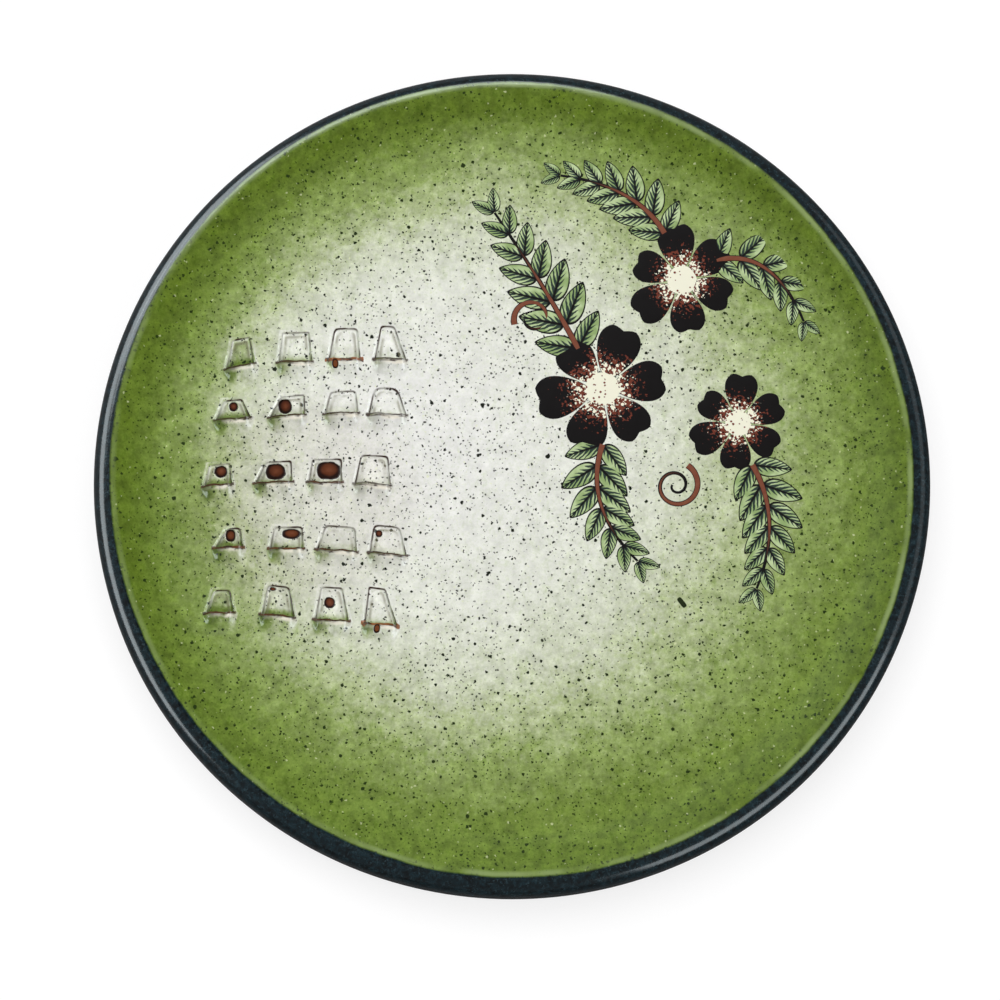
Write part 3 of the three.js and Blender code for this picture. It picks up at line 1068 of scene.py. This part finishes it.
# %% Fronds
FROND_INPUTS = ("Place X", "Place Y", "Turn", "Bend X", "Bend Y", "Tip X", "Tip Y")
FROND_INPUTS += ("Pairs", "Leaflet")
SPREAD = 0.95


def leaf_shape(a, b):
    return (a + 1.0) * 0.5, b * 0.32 * ((1.0 - a) * 0.5) ** 0.35


def frond_tree(finish):
    wire, size = shape_tree("frond", FROND_INPUTS)
    ends = {
        "Resolution": 40,
        "Start": (0.0, 0.0, 0.0),
        "Middle": wire.vector(size["Bend X"], size["Bend Y"], 0.0),
        "End": wire.vector(size["Tip X"], size["Tip Y"], 0.0),
    }
    path = wire.node("GeometryNodeCurveQuadraticBezier", ends)
    count = {"Curve": path, "Count": size["Pairs"]}
    knots = wire.node("GeometryNodeCurveToPoints", count, mode="COUNT")
    tangent = knots.also("Tangent")
    angle = wire.math("ARCTAN2", tangent.part(1), tangent.part(0))
    way = wire.node("GeometryNodeInputIndex", {}) / (size["Pairs"] - 1.0)
    length = size["Leaflet"] * (1.0 - way * 0.55) * (way.ramp(-0.3, 0.25) * 0.5 + 0.5)
    leaflet = film(wire, 28, 10, leaf_shape, thick=0.035)
    parts = [inked_line(wire, path)]
    for side in (-1, 1):
        leaves = {
            "Points": knots,
            "Instance": leaflet,
            "Rotation": wire.vector(0.0, 0.0, angle + (1.0 - way * 0.45) * (SPREAD * side)),
            "Scale": wire.vector(length, length, 1.0),
        }
        parts.append(wire.node("GeometryNodeInstanceOnPoints", leaves))
    whole = wire.node("GeometryNodeJoinGeometry", {"Geometry": parts})
    return tree_result(placed(whole, size, PRINT_BASE), finish)


# %% Tendrils
TENDRIL_INPUTS = ("Place X", "Place Y", "Turn", "Reach", "Rounds")
CURL_END = 0.5


def tendril_tree(finish):
    wire, size = shape_tree("tendril", TENDRIL_INPUTS)
    turns = {"Resolution": 48, "Rotations": size["Rounds"], "Height": 0.0}
    turns |= {"Start Radius": size["Reach"], "End Radius": CURL_END}
    path = wire.node("GeometryNodeCurveSpiral", turns)
    return tree_result(placed(inked_line(wire, path), size, PRINT_BASE), finish)


# %% The inks
INK = srgb(15, 12, 12)
RUST = srgb(112, 50, 32)
CREAM = srgb(238, 236, 214)
LEAF = srgb(186, 204, 154)
LEAF_DEEP = srgb(140, 164, 104)
HATCH = srgb(20, 40, 42)
STEM = srgb(128, 78, 54)
PRINT_SHINE = 0.12


def finish_ink(wire, point, colour):
    gloss = 0.3 + noise(point, 1.0) * 0.1
    sockets = {"Base Color": colour, "Roughness": gloss, "Specular IOR Level": PRINT_SHINE}
    finish_shader(wire, sockets)


def blossom_ink():
    material, wire, point = shader_tree("blossom_ink")
    a, b = attribute(wire, "local", "Vector").xy()
    near = 1.0 - a.ramp(-0.85, 0.5)
    brown = (noise(point, 2.6, 1.0) + near * 0.5 - 0.8).step(0.0, 0.05)
    cream = (noise(point.shifted((7.0, 3.0, 0.0)), 3.0, 1.0) + near * 0.55 - 0.97).step(0.0, 0.05)
    colour = brown.tinted(INK, RUST)
    colour = cream.tinted(colour, CREAM)
    colour = a.hypot(b).step(0.93, 0.96).tinted(colour, INK)
    pips = specks(ragged(point, 1.6, 0.1), 0.7, 0.08, 0.2, 0.04, 0.6)
    colour = attribute(wire, "heart").tinted(colour, pips.tinted(CREAM, RUST))
    finish_ink(wire, point, colour)
    return material


def frond_ink():
    material, wire, point = shader_tree("frond_ink")
    a, b = attribute(wire, "local", "Vector").xy()
    colour = noise(point, 0.5).step(0.35, 0.65).tinted(LEAF, LEAF_DEEP)
    strokes = wire.math("SINE", (a - abs(b) * 0.8) * 22.0 + noise(point, 1.2) * 4.0)
    shadow = (b * 0.9 + 0.5 - a * 0.25).step(0.0, 0.7)
    hatch = (strokes * 0.5 + 0.35 + shadow * 0.55 - abs(b) * 1.3).step(0.1, 0.4)
    colour = (hatch * 0.95).tinted(colour, HATCH)
    colour = (1.0 - abs(b).step(0.06, 0.12)).tinted(colour, INK)
    colour = a.hypot(b).step(0.8, 0.87).tinted(colour, INK)
    stem = attribute(wire, "stem")
    bark = noise(point, 1.5).tinted(STEM, RUST)
    bark = (1.0 - stem.step(1.5, 1.7)).tinted(bark, INK)
    colour = stem.step(0.4, 0.6).tinted(colour, bark)
    finish_ink(wire, point, colour)
    return material


blossom_finish, frond_finish = blossom_ink(), frond_ink()
print("inks:", blossom_finish.name, frond_finish.name)

# %% Lay out the print, each row in the order of its tree's inputs
BLOSSOMS = {
    "a": (13.0, 13.6, 10.0, 10.0),
    "b": (24.5, 29.6, 8.6, 38.0),
    "c": (32.5, 8.6, 7.6, 25.0),
}
FRONDS = {
    "a": (9.5, 19.5, 0.0, -4.0, 8.0, -12.0, 20.0, 7.0, 8.4),
    "b": (29.5, 32.5, 0.0, 8.0, 2.0, 12.5, -9.0, 6.0, 6.8),
    "c": (13.0, 5.5, 0.0, -3.0, -9.0, 5.0, -17.0, 7.0, 7.6),
    "d": (34.5, 2.5, 0.0, 4.5, -8.0, 0.5, -18.0, 7.0, 7.6),
    "e": (22.0, 36.5, 0.0, -4.0, 7.0, -15.0, 8.5, 7.0, 7.0),
}
TENDRILS = {
    "a": (23.5, -0.5, 60.0, 3.4, 1.7),
    "b": (3.0, 24.0, 200.0, 2.8, 1.5),
}


def printed(kind, rule, inputs, places):
    for letter, numbers in places.items():
        piece = grown("print_" + kind + "_" + letter, rule, dict(zip(inputs, numbers)))
        piece.data.shade_smooth()
        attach(piece, "root")
        print(piece.name, len(piece.data.polygons), "faces")


printed("blossom", blossom_tree(blossom_finish), BLOSSOM_INPUTS, BLOSSOMS)
printed("frond", frond_tree(frond_finish), FROND_INPUTS, FRONDS)
printed("tendril", tendril_tree(frond_finish), TENDRIL_INPUTS, TENDRILS)

# %% [markdown]
# ## Light, floor and camera
# The plate was shot from almost straight above. Two soft boxes on its left draw the long bright
# streak along the dark rim, weaker ones stand on the right, and all four show in reflections
# only. Two fills and the room light the colours. The floor is white to the camera but still takes
# part of the shadow.

# %% Floor
WHITE_GLOW = 1.1
WHITE_SHARE = 0.72
FLOOR_REACH = 1.5
TABLE = -0.05


def grey(level):
    return (level, level, level, 1.0)


def floor_material():
    material, wire, point = shader_tree("white_floor")
    tone = noise(point, 0.01).tinted(grey(0.86), grey(0.9))
    # painted shade: seen in reflections the floor is drawn darker, most towards the right and the
    # bottom
    aside = (point.part(0) - point.part(1)).ramp(-160.0, 20.0)
    mirrored = wire.node("ShaderNodeLightPath", {}, "Is Glossy Ray") * (aside * 0.3 + 0.56)
    matt = wire.node("ShaderNodeBsdfDiffuse", {"Color": mirrored.tinted(tone, grey(0.0))})
    white = wire.node("ShaderNodeEmission", {"Strength": WHITE_GLOW})
    seen = wire.node("ShaderNodeLightPath", {}, "Is Camera Ray") * WHITE_SHARE
    show(wire.node("ShaderNodeMixShader", {0: seen, 1: matt, 2: white}))
    return material


floor_mesh = bpy.data.meshes.new("floor")
signs = ((-1, -1), (1, -1), (1, 1), (-1, 1))
corners = [(x * FLOOR_REACH, y * FLOOR_REACH, TABLE * MM) for x, y in signs]
floor_mesh.from_pydata(corners, [], [(0, 1, 2, 3)])
floor = new_object("floor", floor_mesh)
floor_mesh.materials.append(floor_material())
print("floor:", 2 * FLOOR_REACH, "m wide")

# %% Lamps
COOL = (0.91, 1.0, 1.03)
WHITE = (1.0, 1.0, 1.0)
ROOM = (0.24, 0.24, 0.25, 1.0)


def soft_box(name, direction, height, distance, width, tall, radiance, shiny=True, soft=True):
    """A soft box on a circle round the plate, aimed at it; radiance 1 is as bright as white."""
    data = bpy.data.lights.new(name, "AREA")
    data.shape = "RECTANGLE"
    data.size = width
    data.size_y = tall
    data.energy = radiance * math.pi * width * tall
    data.color = COOL if shiny else WHITE
    lamp = new_object(name, data)
    turn, rise = math.radians(direction), math.radians(height)
    across = distance * math.cos(rise)
    lamp.location = (across * math.cos(turn), across * math.sin(turn), distance * math.sin(rise))
    lamp.rotation_euler = lamp.location.to_track_quat("Z", "Y").to_euler()
    lamp.visible_glossy = shiny
    lamp.visible_diffuse = soft


# direction and height in degrees, distance, width and tallness in metres, radiance
soft_box("left_box", 165, 27, 1.0, 1.8, 0.54, 6.2, soft=False)
soft_box("upper_left_box", 116, 48, 1.0, 0.9, 0.42, 6.6, soft=False)
soft_box("right_box", -42, 24, 1.0, 0.9, 0.5, 4.3, soft=False)
soft_box("right_sky", 10, 24, 1.0, 1.5, 0.5, 0.7, soft=False)
soft_box("top_fill", 120, 70, 1.3, 1.2, 1.2, 3.2, shiny=False)
soft_box("side_fill", -40, 42, 1.4, 1.0, 1.0, 1.4, shiny=False)
world = bpy.data.worlds.new("room")
bpy.context.scene.world = world
world.use_nodes = True
world.node_tree.nodes["Background"].inputs["Color"].default_value = ROOM
bpy.context.scene.view_settings.view_transform = "Standard"
print("lamps:", len(bpy.data.lights))

# %% Camera
TILT = math.radians(10.2)
DISTANCE = 1.2
PIXEL = 0.14345 * MM
PICTURE = 1000
AIM = (-12.0, -17.7)
SENSOR = 36.0
camera_data = bpy.data.cameras.new("camera")
camera = new_object("camera", camera_data)
camera_data.sensor_width = SENSOR
camera_data.lens = SENSOR * DISTANCE / (PICTURE * PIXEL)
turn = Matrix.Rotation(TILT, 4, "X")
rim_middle = Matrix.Translation((0, 0, WIDEST * MM))
offset = Matrix.Translation((AIM[0] * PIXEL, AIM[1] * PIXEL, DISTANCE))
camera.matrix_world = rim_middle @ turn @ offset
bpy.context.scene.camera = camera
print("camera:", round(camera_data.lens, 1), "mm lens at", DISTANCE, "m")
